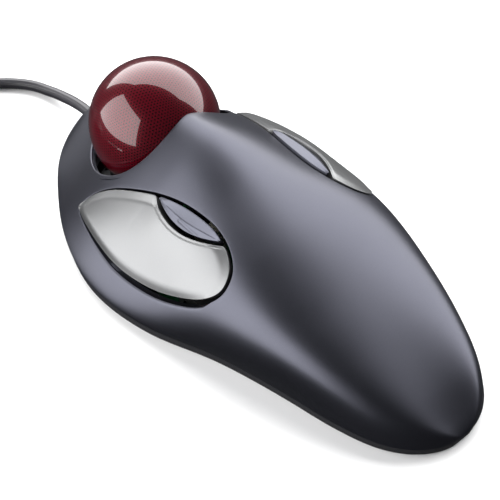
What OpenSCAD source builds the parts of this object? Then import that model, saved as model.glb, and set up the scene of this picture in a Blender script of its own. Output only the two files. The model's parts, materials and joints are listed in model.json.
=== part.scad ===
// Finger-operated trackball mouse: a low two-sided casing, a loose ball at the nose end,
// two main and two small keys, the parts inside, and a cable with its plug.
// Millimetres. +Y points to the nose and the ball, +X to the user's right, +Z up.
// The origin is on the desk, under the middle of the casing.

/* [Body] */
// Overall length of the casing, nose to palm end
body_l = 165.8; // [164:0.2:168]
// Height of the joint between top shell and base plate above the desk
shell_edge_z = 4; // [4:0.1:4.4]
// Wall thickness of the top shell
wall = 2; // [1.8:0.1:2.2]
// How far the base plate stands back from the shell edge
base_inset = 0.5; // [0.3:0.1:0.8]
// Thickness of the base floor
floor_t = 1.8; // [1.6:0.1:2]
// Thickness of the rubber feet under the base
foot_t = 0.8; // [0.6:0.1:0.9]

/* [Ball] */
// Diameter of the ball
ball_d = 40; // [39.6:0.1:40]
// Ball centre ahead of the middle of the casing
ball_y = 46.7; // [46.2:0.1:47.2]
// Ball centre above the desk
ball_z = 23.5; // [23.4:0.1:23.8]
// Forward lean of the opening that the ball lifts out of, degrees from upright
ball_lean = 32; // [31:0.5:34]
// Radius of the ball opening at its sides and front
opening_r = 22.1; // [22:0.1:22.3]
// Diameter of the push-out hole under the ball
push_hole_d = 16; // [12:1:16]
// Diameter of the three bearing balls that carry the ball
bearing_d = 3; // [2.8:0.1:3]

/* [Keys] */
// Gap around the keys at their palm end, seen from above
key_gap = 0.9; // [0.8:0.1:1]
// Gap around the keys at their hinged nose end
key_nose_gap = 0.4; // [0.3:0.05:0.5]
// Thickness of the key plates
key_t = 1.8; // [1.6:0.1:2]
// How far the keys stand proud of the casing
key_proud = 1.2; // [0.8:0.1:1.4]
// Diameter of the pivot moulded on each main key
pivot_d = 3; // [2.6:0.2:3.4]
// Distance of the main switches from the centre line
main_switch_x = 27; // [26:0.5:28]
// Distance of the small switches from the centre line
small_switch_x = 20.5; // [20:0.5:21]

/* [Board] */
// Height of the underside of the main board
board_z = 5.5; // [5.4:0.1:5.8]
// Thickness of the circuit boards
board_t = 1.6; // [1.2:0.2:1.6]

/* [Cable] */
// Diameter of the cable
cable_d = 3.6; // [3.4:0.1:3.8]
// Distance of the cable outlet to the left of the centre line
outlet_x = 2; // [1.8:0.1:2.2]
// Height of the cable outlet above the desk
outlet_z = 5.5; // [5.4:0.1:5.6]
// Diameter of the coil at the middle of its turns
coil_d = 40; // [38:1:42]

/* [Hidden] */

$fn = 48;

// The casing's free-form skin: stations from the palm end to the nose, evenly spaced in the
// angle that runs from 0 to 180 along the length. Width and height are scaled by its sine.
half_width = [40.3, 38.4, 36, 32.9, 31.5, 34.1, 41.5, 45.7, 45.2, 42.4, 40.1, 35.8, 33.1];
crest_height = [9.4, 12.3, 17.3, 21.4, 25.3, 29.5, 32.7, 36, 34.9, 28.6, 22.1, 18.6, 17.2];
// Angle of the flank at the shell edge, and how full the flank and the crest are
edge_angle = [51, 63, 80, 90, 101, 110, 107, 90, 74, 45, 31, 30, 33];
flank_pull = [0.57, 0.57, 0.55, 0.54, 0.46, 0.32, 0.11, 0.05, 0.03, 0.06, 0.02, 0.06, 0.1];
crest_pull = [0.76, 0.72, 0.69, 0.8, 0.9, 0.8, 0.45, 0.24, 0.17, 0.02, 0.09, 0.43, 0.69];
rings = 44;
ring_steps = 28;

// Outline of a key pair in plan, right-hand side
key_outline = [
    [30.4, 43.9], [27.2, 41.2], [24.5, 35.6], [22.2, 27.6], [19.9, 18.2], [18.2, 9.4], [17.5, 1],
    [17.9, -5.6], [19.9, -12.4], [23.4, -17.2], [28.2, -18.3], [32.4, -14], [36, -3.6],
    [38, 8], [38.3, 18], [36.9, 27.6], [34.7, 36.4], [32.6, 42.2]
];
outline_steps = 3;
// Where the gap around the keys is narrow, and where it has its full width
gap_narrow_y = 42;
gap_full_y = -5;
// The arc that parts the small key from the main key
lens_x = -7.2;
lens_y = 5.2;
lens_r = 30.5;

floor_z = foot_t;
floor_top = foot_t + floor_t;
ball_r = ball_d / 2;
board_top = board_z + board_t;
cable_r = cable_d / 2;
socket_r = 24;
socket_gap = 0.9;
socket_rim = -9.6;
collar_t = 1.4;
bearing_ring = ball_r + bearing_d / 2 + 0.05;
sensor_lean = 20;
led_turn = 40;
pivot_lean = 38.5;
pivot_at = [28.2, 40, 7.2];
pivot_l = 6.4;
pivot_arm_t = 2;
ear_at = 1.95;
ear_t = 1.2;
ear_w = 5.2;
main_plunger_top = board_top + 7.2;
small_plunger_top = board_top + 4.5;
key_play = 0.05;
main_switch_y = -8;
small_switch_y = 4.5;
case_screw_at = [[0, -66], [-16.9, 18], [16.9, 18]];
socket_screw_at = [[-20, 31], [20, 31]];
header_at = [-12, 8];
board_screw_at = [[-14, -56], [14, -56], [-28, 9], [28, 9]];
foot_at = [[-14, -66], [14, -66], [-31, 32], [31, 32]];
board_screw_l = 4.4;
wire_r = 1.1;

// Cable route on the desk, from the outlet to the coil, and from the coil to the plug
cable_route = [
    [-outlet_x, 79.5, outlet_z], [-2, 83, 5.4], [-2.1, 87, 5], [-2.3, 91, 4.3], [-2.6, 95, 3.4],
    [-3.1, 99, 2.6], [-4.1, 103, 2], [-5.7, 107, 1.9], [-8, 110.5, 1.9], [-11.2, 114, 1.9],
    [-15, 117.3, 1.9], [-20, 121.3, 1.9], [-25, 125.1, 1.9], [-30, 128.9, 1.9], [-35, 132.6, 1.9],
    [-39, 135.6, 2.1], [-43.5, 138.9, 2.4]
];
tail_route = [
    [-85, 116.6, 13.4], [-84.8, 112, 13.2], [-84.5, 107.5, 12], [-84.2, 103, 9.9], [-84, 98.5, 7.4],
    [-83.8, 94, 5.3], [-83.8, 90, 4.2], [-83.9, 86, 4]
];
inner_route = [
    [-2, 72.9, 5.5], [-2, 71.8, 5.5], [-2.5, 70.3, 5.6], [-4, 69.4, 5.7], [-6.5, 69.2, 5.7], [-12, 69, 5.7],
    [-17.6, 66.4, 5.4], [-22.4, 60, 5], [-27.4, 53, 4.8], [-31, 47, 4.8], [-32.4, 40.5, 4.8], [-31, 34, 5.2],
    [-27, 27.6, 6.6], [-24, 22.4, 9], [-21.8, 17, 11], [-18.4, 13.4, 12.4], [-14.6, 12.9, 13.2],
    [-12.3, 11.9, 13.4], [-12, 10.35, 13.4]
];
coil_at = [-59, 118];
// Half the width of the wound bundle, its height, and its lift off the desk on the strap
coil_band = 7.8;
coil_h = 14.7;
coil_lift = 0.6;
strap_w = 5;
strap_t = 0.9;
plug_at = [-83.9, 86, 4];
plug_turn = 2;

// ---- shapes that serve several parts ----

// Smooth value through evenly spaced stations, t from 0 to 1; both ends are mirrored
function station(v, t) =
    let (
        last = len(v) - 1,
        s = min(max(t, 0), 0.9999) * last,
        i = floor(s),
        f = s - i,
        a = i == 0 ? v[1] : v[i - 1],
        b = v[i],
        c = v[i + 1],
        d = i == last - 1 ? v[last - 1] : v[i + 2]
    )
    b + 0.5 * ((c - a) * f + (2 * a - 5 * b + 4 * c - d) * f * f + (3 * b - a - 3 * c + d) * f * f * f);

// Cubic Bezier through four control values
function bezier(p, t) =
    let (r = 1 - t)
    r * r * r * p[0] + 3 * t * r * r * p[1] + 3 * t * t * r * p[2] + t * t * t * p[3];

// Point on the skin: angle along the length, u from -1 at the left edge to 1 at the right
function skin_point(angle, u, grow) =
    let (
        t = angle / 180,
        w = sin(angle) * (station(half_width, t) + grow),
        h = sin(angle) * (station(crest_height, t) + grow),
        pull = station(flank_pull, t) * sqrt(w * w + h * h),
        lean = station(edge_angle, t),
        across = [w, w - pull * cos(lean), station(crest_pull, t) * w, 0],
        up = [0, pull * sin(lean), h, h],
        s = 1 - abs(u)
    )
    [sign(u) * bezier(across, s), -(body_l / 2 + grow) * cos(angle), shell_edge_z + bezier(up, s)];

// Closed ring of points at one place along the length, dropped by skirt below the shell edge
function skin_ring(angle, grow, skirt) =
    let (
        arc = [for (j = [0 : ring_steps]) skin_point(angle, 2 * j / ring_steps - 1, grow)],
        left = arc[0],
        right = arc[ring_steps]
    )
    concat(arc, skirt > 0 ? [right - [0, 0, skirt], left - [0, 0, skirt]] : []);

// Faces that join rings of points into a closed tube with a cap at each end
function tube_faces(count, sides) = concat(
    [for (i = [0 : count - 2]) for (j = [0 : sides - 1])
        [i * sides + j, (i + 1) * sides + j, i * sides + (j + 1) % sides]],
    [for (i = [0 : count - 2]) for (j = [0 : sides - 1])
        [i * sides + (j + 1) % sides, (i + 1) * sides + j, (i + 1) * sides + (j + 1) % sides]],
    [[for (j = [0 : sides - 1]) j]],
    [[for (j = [sides - 1 : -1 : 0]) (count - 1) * sides + j]]
);

// Solid under the skin. A negative grow gives the inside of the casing.
module skin_solid(grow, skirt) {
    first = 4;
    step = (180 - 2 * first) / (rings - 1);
    points = [for (i = [0 : rings - 1]) each skin_ring(first + i * step, grow, skirt)];
    sides = ring_steps + (skirt > 0 ? 3 : 1);
    polyhedron(points, tube_faces(rings, sides), convexity = 8);
}

// Keeps a free-form piece as one mesh
module as_mesh() {
    resize([0, 0, 0]) children();
}

// Outline of the base in plan
function edge_outline(inset) = concat(
    [for (a = [5 : 2 : 175]) [sin(a) * (station(half_width, a / 180)) - inset, -(body_l / 2 - inset) * cos(a)]],
    [for (a = [175 : -2 : 5]) [-sin(a) * (station(half_width, a / 180)) + inset, -(body_l / 2 - inset) * cos(a)]]
);

// Point on a closed smooth curve through points p
function closed_curve(p, i, f) =
    let (
        n = len(p),
        a = p[(i + n - 1) % n],
        b = p[i],
        c = p[(i + 1) % n],
        d = p[(i + 2) % n]
    )
    b + 0.5 * ((c - a) * f + (2 * a - 5 * b + 4 * c - d) * f * f + (3 * b - a - 3 * c + d) * f * f * f);

// Mirrors a right-hand shape to the left for side -1
module on_side(side) {
    mirror([side < 0 ? 1 : 0, 0, 0]) children();
}

// Point on the outline of a key pair, moved inwards by a share of the gap at that place
function key_outline_point(i, f, share) =
    let (
        p = closed_curve(key_outline, i, f),
        way = closed_curve(key_outline, i, f + 0.01) - p,
        wide = min(max((gap_narrow_y - p[1]) / (gap_narrow_y - gap_full_y), 0), 1),
        gap = share * (key_nose_gap + (key_gap - key_nose_gap) * wide)
    )
    p + gap * [-way[1], way[0]] / norm(way);

// Outline of a key pair: share 0 is the opening in the shell, share 1 the keys themselves
module key_pair_2d(share) {
    polygon([for (i = [0 : len(key_outline) - 1]) for (k = [0 : outline_steps - 1])
        key_outline_point(i, k / outline_steps, share)]);
}

module main_key_2d() {
    difference() {
        key_pair_2d(1);
        translate([lens_x, lens_y]) circle(lens_r + key_gap / 2, $fn = 180);
    }
}

module small_key_2d() {
    intersection() {
        key_pair_2d(1);
        translate([lens_x, lens_y]) circle(lens_r - key_gap / 2, $fn = 180);
    }
}

// Upright prism tall enough to cut the whole casing
module prism() {
    linear_extrude(60) children();
}

// Plate that stands proud of the skin and follows it, cut to a plan outline
module skin_plate(thick) {
    difference() {
        intersection() {
            skin_solid(key_proud, 0);
            prism() children();
        }
        skin_solid(-thick, 6);
    }
}

// Moves to the ball centre and leans to the way the ball comes out
module at_ball(lean = 0) {
    translate([0, ball_y, ball_z]) rotate([-lean, 0, 0]) children();
}

// Outline of the ball opening, seen along its own axis: rounder behind the ball
module opening_2d(grow) {
    intersection() {
        circle(opening_r + grow, $fn = 96);
        translate([0, 3.4]) circle(24 + grow, $fn = 96);
    }
}

// Moves to the line along which the sensor looks at the ball, +Z away from the ball
module at_sensor(turn = 0) {
    at_ball() rotate([0, 0, turn]) rotate([90 + sensor_lean, 0, 0]) children();
}

// Moves to one of three bearings around the lower half of the ball, +Z away from the ball
module at_bearings() {
    for (turn = [60, 180, 300])
        at_ball() rotate([0, 0, turn]) rotate([-135, 0, 0]) children();
}

// Pan-head screw with its head down at the origin and its shank up
module screw(head_d, head_h, shank_d, length) {
    cylinder(d = head_d, h = head_h);
    cylinder(d = shank_d, h = head_h + length);
}

module rounded_box(size, r) {
    translate([-size[0] / 2, -size[1] / 2, 0])
        linear_extrude(size[2])
            translate([r, r]) offset(r) square([size[0] - 2 * r, size[1] - 2 * r]);
}

// Ring of eight points around one route point, square to the way the route goes
function route_ring(route, i, r) =
    let (
        before = route[max(i - 1, 0)],
        after = route[min(i + 1, len(route) - 1)],
        way = (after - before) / norm(after - before),
        side = cross(way, [0, 0, 1]) / norm(cross(way, [0, 0, 1])),
        up = cross(side, way)
    )
    [for (k = [0 : 7]) route[i] + r * (cos(45 * k) * side - sin(45 * k) * up)];

// Round cord along a route
module cord(route, r) {
    points = [for (i = [0 : len(route) - 1]) each route_ring(route, i, r)];
    polyhedron(points, tube_faces(len(route), 8), convexity = 4);
}

// ---- casing ----

module top_shell() {
    color([0.37, 0.37, 0.41])
        as_mesh() {
            difference() {
                union() {
                    difference() {
                        skin_solid(0, 0);
                        skin_solid(-wall, 2);
                    }
                    intersection() {
                        skin_solid(-wall / 2, 0);
                        union() {
                            at_ball(ball_lean) translate([0, 0, -7]) prism() opening_2d(collar_t);
                            shell_posts();
                        }
                    }
                }
                at_ball(ball_lean) translate([0, 0, -9]) prism() opening_2d(0);
                for (side = [-1, 1]) on_side(side) prism() key_pair_2d(0);
                translate([-outlet_x, 70, outlet_z]) rotate([-90, 0, 0]) cylinder(r = 3, h = 20);
                for (p = case_screw_at)
                    translate([p[0], p[1], 0]) cylinder(r = 1.25, h = 12);
            }
        }
}

// Posts that the case screws bite into
module shell_posts() {
    for (p = case_screw_at)
        translate([p[0], p[1], shell_edge_z]) cylinder(r = 3, h = 40, $fn = 24);
}

module base_plate() {
    color([0.1, 0.1, 0.11])
        difference() {
            union() {
                translate([0, 0, floor_z]) linear_extrude(shell_edge_z - floor_z)
                    difference() {
                        polygon(edge_outline(base_inset));
                        polygon(edge_outline(base_inset + wall));
                    }
                translate([0, 0, floor_z]) linear_extrude(floor_t) polygon(edge_outline(base_inset + 1));
                for (p = case_screw_at)
                    translate([p[0], p[1], floor_z]) cylinder(r = 4, h = shell_edge_z - floor_z);
                for (p = board_screw_at)
                    translate([p[0], p[1], floor_z]) cylinder(r = 2.6, h = board_z - floor_z);
                for (side = [-1, 1]) on_side(side) pivot_cradle();
            }
            translate([0, ball_y, -1]) cylinder(d = push_hole_d, h = 10);
            for (p = case_screw_at)
                translate([p[0], p[1], 0]) {
                    cylinder(r = 1.6, h = 10);
                    cylinder(r = 2.9, h = floor_z + 1);
                }
            for (p = board_screw_at)
                translate([p[0], p[1], floor_top]) cylinder(r = 1.05, h = 10);
            for (p = socket_screw_at)
                translate([p[0], p[1], 0]) cylinder(r = 1.05, h = 10);
            translate([-outlet_x, 70, outlet_z]) rotate([-90, 0, 0]) cylinder(r = 3, h = 20);
        }
}

// Two ears that carry the pivot of a main key
module pivot_cradle() {
    difference() {
        for (end = [-1, 1])
            translate([pivot_at[0] + end * ear_at - ear_t / 2, pivot_at[1] - ear_w / 2, floor_z])
                cube([ear_t, ear_w, pivot_at[2] + 2.2 - end * 1.6 - floor_z]);
        at_pivot() cylinder(d = pivot_d + 0.06, h = 20, center = true);
    }
}

// Moves to the pivot of the right-hand main key, +Z along the pivot, outwards and down
module at_pivot() {
    translate(pivot_at) rotate([0, 90 + pivot_lean, 0]) children();
}

// ---- keys ----

module main_key() {
    as_mesh() {
        skin_plate(key_t) main_key_2d();
        intersection() {
            skin_solid(-key_t / 2, 0);
            translate([main_switch_x, main_switch_y, main_plunger_top + key_play])
                cylinder(r = 1.6, h = 30, $fn = 24);
        }
        intersection() {
            skin_solid(-key_t / 2, 0);
            prism() main_key_2d();
            translate(pivot_at - [pivot_arm_t / 2, pivot_d / 2, 0]) cube([pivot_arm_t, pivot_d, 20]);
        }
    }
    at_pivot() cylinder(d = pivot_d, h = pivot_l, center = true);
}

module small_key() {
    as_mesh() {
        skin_plate(key_t) small_key_2d();
        intersection() {
            skin_solid(-key_t / 2, 0);
            translate([small_switch_x, small_switch_y, small_plunger_top + key_play])
                cylinder(r = 1.3, h = 30, $fn = 24);
        }
    }
}

module left_main_button() {
    color([0.75, 0.76, 0.77]) on_side(-1) main_key();
}

module right_main_button() {
    color([0.75, 0.76, 0.77]) main_key();
}

module left_small_button() {
    color([0.58, 0.6, 0.65]) on_side(-1) small_key();
}

module right_small_button() {
    color([0.58, 0.6, 0.65]) small_key();
}

// ---- ball and its seat ----

module ball_layer(outer_r, inner_r) {
    at_ball() difference() {
        sphere(outer_r, $fn = 64);
        if (inner_r > 0) sphere(inner_r, $fn = 64);
    }
}

module ball_core() {
    color([0.16, 0.02, 0.04]) ball_layer(ball_r - 8.05, 0);
}

module ball_filler_layer() {
    color([0.2, 0.03, 0.05]) ball_layer(ball_r - 4.05, ball_r - 8);
}

module ball_dot_layer() {
    color([0.3, 0.03, 0.06]) ball_layer(ball_r - 1.55, ball_r - 4);
}

module ball_clear_coat() {
    color([0.45, 0.04, 0.09]) ball_layer(ball_r, ball_r - 1.5);
}

module ball_socket() {
    color([0.08, 0.08, 0.09])
        difference() {
            union() {
                intersection() {
                    at_ball() sphere(socket_r, $fn = 64);
                    at_ball(ball_lean) translate([-30, -30, socket_rim - 60]) cube([60, 60, 60]);
                }
                translate([0, ball_y, floor_top]) cylinder(r = socket_r, h = 1.8, $fn = 96);
                for (p = socket_screw_at)
                    translate([p[0], p[1], floor_top]) cylinder(r = 3.2, h = 1.8);
            }
            translate([-40, 0, floor_top - 20]) cube([80, 100, 20]);
            at_ball() sphere(ball_r + socket_gap, $fn = 64);
            translate([0, ball_y, 0]) cylinder(d = push_hole_d, h = 10);
            at_bearings() cylinder(d = bearing_d + 0.1, h = bearing_ring + bearing_d / 2 + 0.05);
            at_sensor() cylinder(r = 4, h = 40);
            for (turn = [-led_turn, led_turn]) at_sensor(turn) cylinder(r = 1.6, h = 40);
            for (p = socket_screw_at)
                translate([p[0], p[1], 0]) cylinder(r = 1.2, h = 12);
        }
}

module support_bearings() {
    color([0.8, 0.8, 0.82])
        at_bearings() translate([0, 0, bearing_ring]) sphere(d = bearing_d);
}

// ---- electronics ----

module main_board() {
    color([0.1, 0.32, 0.16])
        difference() {
            translate([0, 0, board_z]) linear_extrude(board_t)
                polygon([
                    [-31, 14], [31, 14], [33, -4], [32, -18], [21, -38], [18, -62],
                    [-18, -62], [-21, -38], [-32, -18], [-33, -4]
                ]);
            for (p = board_screw_at) translate([p[0], p[1], 0]) cylinder(r = 1.2, h = 20);
            translate([0, case_screw_at[0][1], 0]) cylinder(r = 4.5, h = 20);
        }
}

module sensor_board() {
    color([0.1, 0.32, 0.16])
        at_sensor() translate([-13, -6.5, 29]) cube([26, 13, board_t]);
}

// Upright on the socket flange that holds the sensor board by its back
module sensor_bracket() {
    color([0.12, 0.12, 0.13])
        difference() {
            union() {
                at_sensor() for (end = [-1, 1])
                    translate([end * 11 - 2, -8, 29 + board_t]) cube([4, 14, 1.6]);
                for (end = [-1, 1])
                    translate([end * 11 - 2, 15.2, floor_top]) cube([4, 6.4, 3.6]);
            }
            translate([-20, 0, floor_top - 10]) cube([40, 40, 10]);
            translate([-20, 0, 0]) cube([40, 14.6, board_top + 4]);
        }
}

module optical_sensor() {
    color([0.07, 0.07, 0.08])
        at_sensor() difference() {
            translate([-5, -4, 26.2]) cube([10, 8, 2.8]);
            translate([0, 0, 25]) cylinder(r = 1.4, h = 2.2);
        }
}

module sensor_lens() {
    color([0.75, 0.8, 0.85])
        at_sensor() {
            translate([0, 0, ball_r + 1.6]) cylinder(r = 3.9, h = 2);
            translate([0, 0, ball_r + 3.6]) cylinder(r = 2.4, h = 2.6);
        }
}

module infrared_leds() {
    color([0.5, 0.5, 0.6])
        for (turn = [-led_turn, led_turn])
            at_sensor(turn) {
                translate([0, 0, ball_r + 2]) sphere(r = 1.5, $fn = 32);
                translate([0, 0, ball_r + 2]) cylinder(r = 1.5, h = 4.4);
                translate([0, 0, ball_r + 5.6]) cylinder(r = 1.9, h = 0.8);
            }
}

module controller_chip() {
    color([0.06, 0.06, 0.07])
        translate([0, -22, board_top]) difference() {
            translate([-3.8, -6.5, 0]) cube([7.6, 13, 2.4]);
            translate([0, 5.6, 2]) cylinder(r = 0.9, h = 2);
        }
}

module crystal() {
    color([0.72, 0.73, 0.74])
        translate([13, -24, board_top]) rounded_box([4.6, 11, 3.6], 2.2);
}

module reservoir_capacitor() {
    color([0.12, 0.13, 0.28])
        translate([-12, -30, board_top + 2.5]) rotate([90, 0, 0]) cylinder(d = 5, h = 9);
}

module ceramic_capacitors() {
    color([0.7, 0.58, 0.4])
        for (p = [[-9, -14], [9, -12], [7.5, -33], [-3, -38], [4, -45]])
            translate([p[0] - 1, p[1] - 0.6, board_top]) cube([2, 1.2, 0.9]);
}

// Row of stiff wires that join the two boards
module board_link_pins() {
    color([0.8, 0.72, 0.45])
        for (i = [-3 : 3])
            translate([i * 1.5, 12.2, board_top]) {
                translate([-0.3, 0, 0]) cube([0.6, 0.6, 3.4]);
                translate([-0.3, 0, 2.8]) cube([0.6, 5.6, 0.6]);
            }
}

module cable_header() {
    color([0.85, 0.84, 0.78])
        translate([header_at[0], header_at[1], board_top]) difference() {
            translate([-5, -3, 0]) cube([10, 6, 5]);
            translate([-4.2, -2.2, 1]) cube([8.4, 4.4, 5]);
        }
}

module cable_connector() {
    color([0.92, 0.91, 0.86])
        translate([header_at[0] - 4.2, header_at[1] - 2.2, board_top + 1]) cube([8.4, 4.4, 7]);
}

// ---- switches ----

module main_switch() {
    translate([main_switch_x, main_switch_y, board_top]) difference() {
        translate([-2.9, -6.4, 0]) cube([5.8, 12.8, 6.5]);
        translate([-0.7, -1.5, 4]) cube([1.4, 3, 4]);
        for (y = [-3.25, 3.25])
            translate([-4, y, 1.8]) rotate([0, 90, 0]) cylinder(r = 0.95, h = 8);
    }
}

module main_plunger() {
    translate([main_switch_x - 0.6, main_switch_y - 1.4, board_top + 4.8])
        cube([1.2, 2.8, main_plunger_top - board_top - 4.8]);
}

module small_switch() {
    translate([small_switch_x, small_switch_y, board_top]) difference() {
        translate([-3, -3, 0]) cube([6, 6, 3.6]);
        translate([0, 0, 2]) cylinder(r = 1.75, h = 4);
    }
}

module small_plunger() {
    translate([small_switch_x, small_switch_y, board_top + 2.7])
        cylinder(r = 1.7, h = small_plunger_top - board_top - 2.7);
}

module left_main_switch() {
    color([0.1, 0.1, 0.1]) on_side(-1) main_switch();
}

module right_main_switch() {
    color([0.1, 0.1, 0.1]) main_switch();
}

module left_main_plunger() {
    color([0.85, 0.3, 0.2]) on_side(-1) main_plunger();
}

module right_main_plunger() {
    color([0.85, 0.3, 0.2]) main_plunger();
}

module left_small_switch() {
    color([0.14, 0.14, 0.15]) on_side(-1) small_switch();
}

module right_small_switch() {
    color([0.14, 0.14, 0.15]) small_switch();
}

module left_small_plunger() {
    color([0.2, 0.2, 0.22]) on_side(-1) small_plunger();
}

module right_small_plunger() {
    color([0.2, 0.2, 0.22]) small_plunger();
}

// ---- fasteners, feet and label ----

module case_screws() {
    color([0.55, 0.55, 0.57])
        for (p = case_screw_at)
            translate([p[0], p[1], floor_z + 0.1]) screw(5.4, 0.9, 2.4, 7);
}

module board_screws() {
    color([0.6, 0.6, 0.62])
        for (p = board_screw_at)
            translate([p[0], p[1], board_top + 1.2]) mirror([0, 0, 1]) screw(4, 1.2, 2, board_screw_l);
}

module socket_screws() {
    color([0.6, 0.6, 0.62])
        for (p = socket_screw_at)
            translate([p[0], p[1], floor_top + 3]) mirror([0, 0, 1]) screw(3.6, 1.2, 2, 3.2);
}

module rubber_feet() {
    color([0.16, 0.16, 0.17])
        for (p = foot_at)
            translate([p[0], p[1], 0]) cylinder(r = 5, h = foot_t);
}

module rating_label() {
    color([0.8, 0.8, 0.8])
        translate([0, -22, floor_z - 0.2]) rounded_box([34, 44, 0.2], 3);
}

// ---- cable ----

module inner_cable() {
    color([0.12, 0.12, 0.13]) cord(inner_route, wire_r);
}

module cable_grommet() {
    color([0.1, 0.1, 0.11])
        translate([-outlet_x, 73, outlet_z]) rotate([-90, 0, 0]) {
            cylinder(r = 2.9, h = 6.5);
        }
}

module cable() {
    color([0.2, 0.2, 0.23]) cord(cable_route, cable_r);
}

module cable_coil() {
    color([0.2, 0.2, 0.23])
        translate([coil_at[0], coil_at[1], coil_lift])
            rotate_extrude($fn = 72)
                translate([coil_d / 2 - coil_band, 0]) coil_section();
}

// Section of the wound turns, with rounded corners
module coil_section() {
    r = 1.8;
    for (x = [r, 2 * coil_band - r]) for (z = [r, coil_h - r]) translate([x, z]) circle(r, $fn = 24);
    translate([r, 0]) square([2 * coil_band - 2 * r, coil_h]);
    translate([0, r]) square([2 * coil_band, coil_h - 2 * r]);
}

// Strap around the turns, thinner where they rest on it
module cable_tie() {
    half = coil_band + 0.05;
    inner_h = coil_h + 0.2;
    color([0.08, 0.08, 0.09])
        translate([coil_at[0] + coil_d / 2, coil_at[1], 0]) difference() {
            translate([-half - strap_t, -strap_w / 2, 0])
                cube([2 * half + 2 * strap_t, strap_w, coil_lift + inner_h + strap_t]);
            translate([-half, -strap_w, coil_lift - 0.1]) cube([2 * half, 2 * strap_w, inner_h + 0.1]);
        }
}

module cable_tail() {
    color([0.2, 0.2, 0.23]) cord(tail_route, cable_r);
}

// Moves to the plug: +Y runs from the cable end to the metal tip
module at_plug() {
    translate(plug_at) rotate([0, 0, 180 - plug_turn]) children();
}

module plug_body() {
    color([0.11, 0.11, 0.12])
        at_plug() {
            rotate([-90, 0, 0]) cylinder(r = 2.7, h = 9);
            translate([-7.7, 9, -4]) cube([15.4, 25, 8]);
        }
}

module plug_shell() {
    color([0.78, 0.79, 0.8])
        at_plug() difference() {
            translate([-6, 34, -2.25]) cube([12, 11.8, 4.5]);
            translate([-5.7, 34.4, -1.95]) cube([11.4, 12, 3.9]);
            for (x = [-2.6, 2.6]) translate([x - 1.1, 38, -4]) cube([2.2, 2.2, 8]);
        }
}

module plug_tongue() {
    color([0.9, 0.9, 0.9])
        at_plug() translate([-5.6, 34.4, -1.9]) cube([11.2, 10.6, 1.9]);
}

module plug_contacts() {
    color([0.85, 0.7, 0.35])
        at_plug() for (x = [-3.5, -1, 1, 3.5])
            translate([x - 0.5, 35.6, 0]) cube([1, 8.4, 0.3]);
}

top_shell();
base_plate();
left_main_button();
right_main_button();
left_small_button();
right_small_button();
ball_socket();
support_bearings();
ball_core();
ball_filler_layer();
ball_dot_layer();
ball_clear_coat();
main_board();
sensor_board();
sensor_bracket();
optical_sensor();
sensor_lens();
infrared_leds();
controller_chip();
crystal();
reservoir_capacitor();
ceramic_capacitors();
board_link_pins();
cable_header();
cable_connector();
left_main_switch();
right_main_switch();
left_main_plunger();
right_main_plunger();
left_small_switch();
right_small_switch();
left_small_plunger();
right_small_plunger();
case_screws();
board_screws();
socket_screws();
rubber_feet();
rating_label();
inner_cable();
cable_grommet();
cable();
cable_coil();
cable_tie();
cable_tail();
plug_body();
plug_shell();
plug_tongue();
plug_contacts();
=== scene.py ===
"""Looks of the finger trackball mouse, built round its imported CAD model.

The frame is the CAD's own: +Y to the nose and the ball, +X to the user's right, +Z up, and the
desk at z = 0. Shapes are worked out in millimetres, and add_piece() turns them into metres.
"""

import json
import math

import bpy
import numpy as np
from mathutils import Matrix, Vector


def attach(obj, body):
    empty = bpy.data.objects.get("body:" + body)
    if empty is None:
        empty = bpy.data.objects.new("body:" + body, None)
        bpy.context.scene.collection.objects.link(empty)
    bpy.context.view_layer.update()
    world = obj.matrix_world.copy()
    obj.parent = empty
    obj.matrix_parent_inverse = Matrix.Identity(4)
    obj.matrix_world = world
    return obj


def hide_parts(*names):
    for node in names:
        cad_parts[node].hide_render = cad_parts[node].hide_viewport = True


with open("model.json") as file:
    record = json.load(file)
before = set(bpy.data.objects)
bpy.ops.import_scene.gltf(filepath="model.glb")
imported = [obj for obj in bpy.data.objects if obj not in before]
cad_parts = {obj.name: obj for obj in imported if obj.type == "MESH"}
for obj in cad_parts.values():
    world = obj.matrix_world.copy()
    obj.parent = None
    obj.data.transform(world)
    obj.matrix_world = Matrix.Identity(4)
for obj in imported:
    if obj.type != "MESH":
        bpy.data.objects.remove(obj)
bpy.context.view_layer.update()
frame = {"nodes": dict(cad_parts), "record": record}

MM = 0.001
scene = bpy.context.scene
nodes = frame["nodes"]


# ---------------------------------------------------------------- camera

CAMERA_AT = Vector((-151.575, -171.75, 262.536)) * MM
CAMERA_AZIMUTH = -41.0
CAMERA_ELEVATION = 48.3
CAMERA_ROLL = 0.3
CAMERA_LENS = 84.38


def make_camera():
    """Camera at the photograph's viewing angle: azimuth 0 looks along +Y."""
    a, e = math.radians(CAMERA_AZIMUTH), math.radians(CAMERA_ELEVATION)
    back = Vector((math.sin(a) * math.cos(e), -math.cos(a) * math.cos(e), math.sin(e)))
    right = Vector((math.cos(a), math.sin(a), 0))
    turn = Matrix((right, back.cross(right), back)).transposed()
    roll = Matrix.Rotation(math.radians(CAMERA_ROLL), 3, "Z")
    data = bpy.data.cameras.new("camera")
    data.lens = CAMERA_LENS
    data.sensor_width = 36
    data.clip_start = 0.01
    camera = bpy.data.objects.new("camera", data)
    camera.matrix_world = Matrix.Translation(CAMERA_AT) @ (turn @ roll).to_4x4()
    scene.collection.objects.link(camera)
    scene.camera = camera


make_camera()


# ---------------------------------------------------------------- materials


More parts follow.
